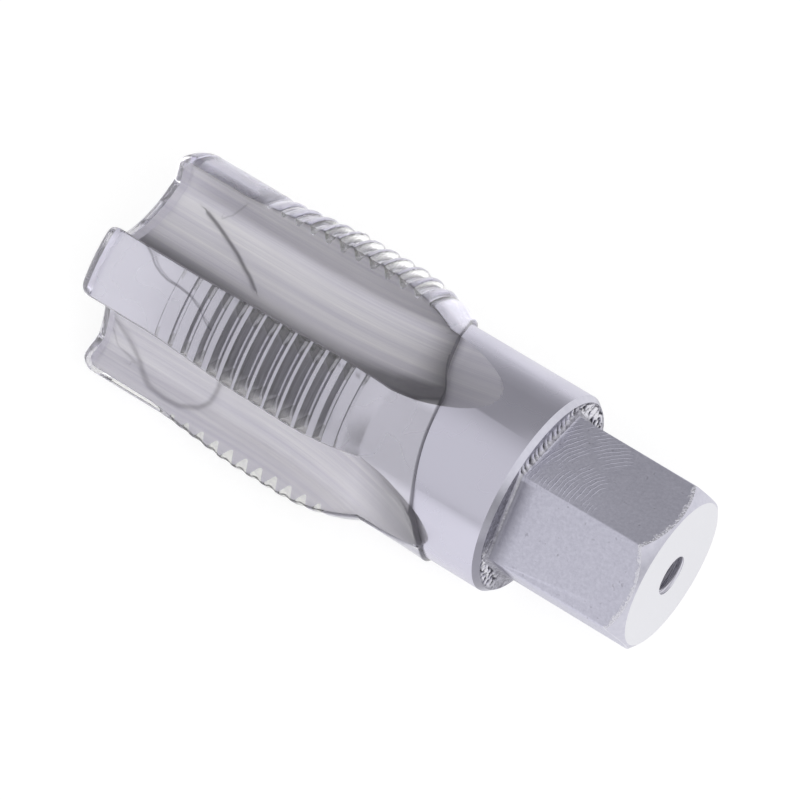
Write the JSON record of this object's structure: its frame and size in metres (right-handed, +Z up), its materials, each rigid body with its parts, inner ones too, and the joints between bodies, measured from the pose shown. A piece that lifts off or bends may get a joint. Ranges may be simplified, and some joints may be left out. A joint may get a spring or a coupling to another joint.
{
  "type": "straight flute tap",
  "caption": "Short pipe-thread tap with straight flutes, a tapered lead, a plain shank, a hexagon drive with a tapped centre hole and a clear dip coating on the cutting end.",
  "frame": {"origin": "centre of the drive end face, on the tap axis, at the mouth of the tapped centre hole", "axes": "+X along the tap axis, out of the drive end face, so the cutting end points along -X; +Z up as the tap lies on two of its lands with one flute facing down"},
  "size_m": [0.0813, 0.0304, 0.0304],
  "materials": {
    "tool_steel": "ground and milled, bare",
    "clear_coating": "clear, glossy, with pooled runs and bubbles"
  },
  "bodies": {
    "root": {"tap_body": "tool_steel", "dip_coating": "clear_coating"}
  },
  "joints": []
}
